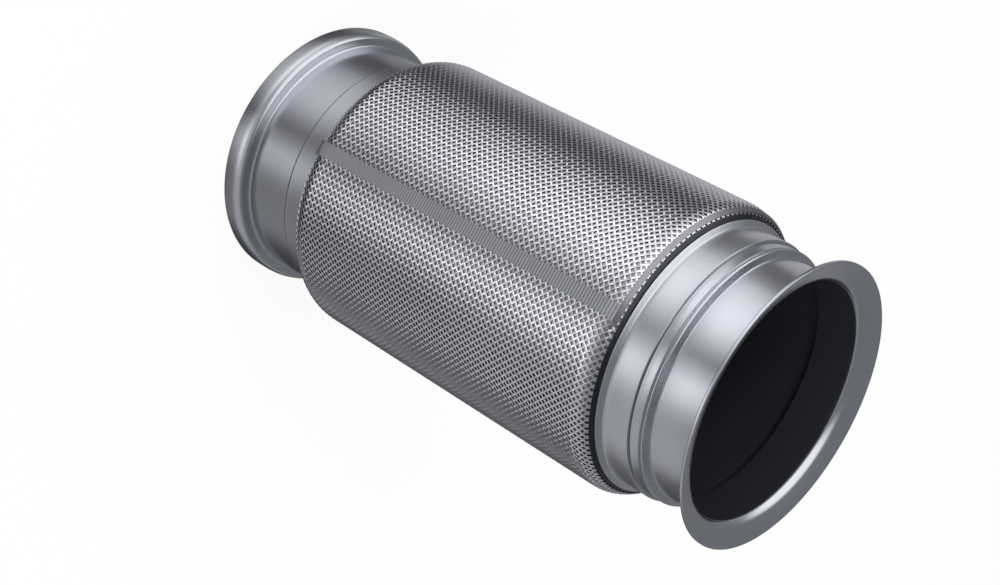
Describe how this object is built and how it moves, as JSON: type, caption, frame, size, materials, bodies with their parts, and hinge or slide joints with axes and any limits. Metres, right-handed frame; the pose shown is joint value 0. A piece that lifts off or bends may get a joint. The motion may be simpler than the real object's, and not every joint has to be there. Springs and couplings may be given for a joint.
{
  "type": "exhaust bellows",
  "caption": "Flexible exhaust connector: a braided steel bellows with a sliding liner, between two end tubes with clamp flanges.",
  "frame": {"origin": "centre of the lower flange's face, on which the part stands", "axes": "+Z along the gas path from the thick lower flange to the flared lip; the braid's seam strip faces -Y"},
  "size_m": [0.1472, 0.1478, 0.307],
  "materials": {
    "tube_steel": "satin",
    "collar_steel": "satin",
    "bellows_steel": "satin",
    "braid_wire": "bright drawn wire",
    "strip_steel": "satin",
    "liner_steel": "dark satin",
    "cushion_wire": "matt wire"
  },
  "bodies": {
    "root": {"lower_end_tube": "tube_steel", "upper_end_tube": "tube_steel", "lower_collar": "collar_steel", "upper_collar": "collar_steel", "bellows": "bellows_steel", "wire_braid": "braid_wire", "braid_seam_strip": "strip_steel", "upper_braid_hoop": "strip_steel", "upper_liner_sleeve": "liner_steel", "lower_liner_sleeve": "liner_steel", "liner_cushion": "cushion_wire"}
  },
  "joints": []
}
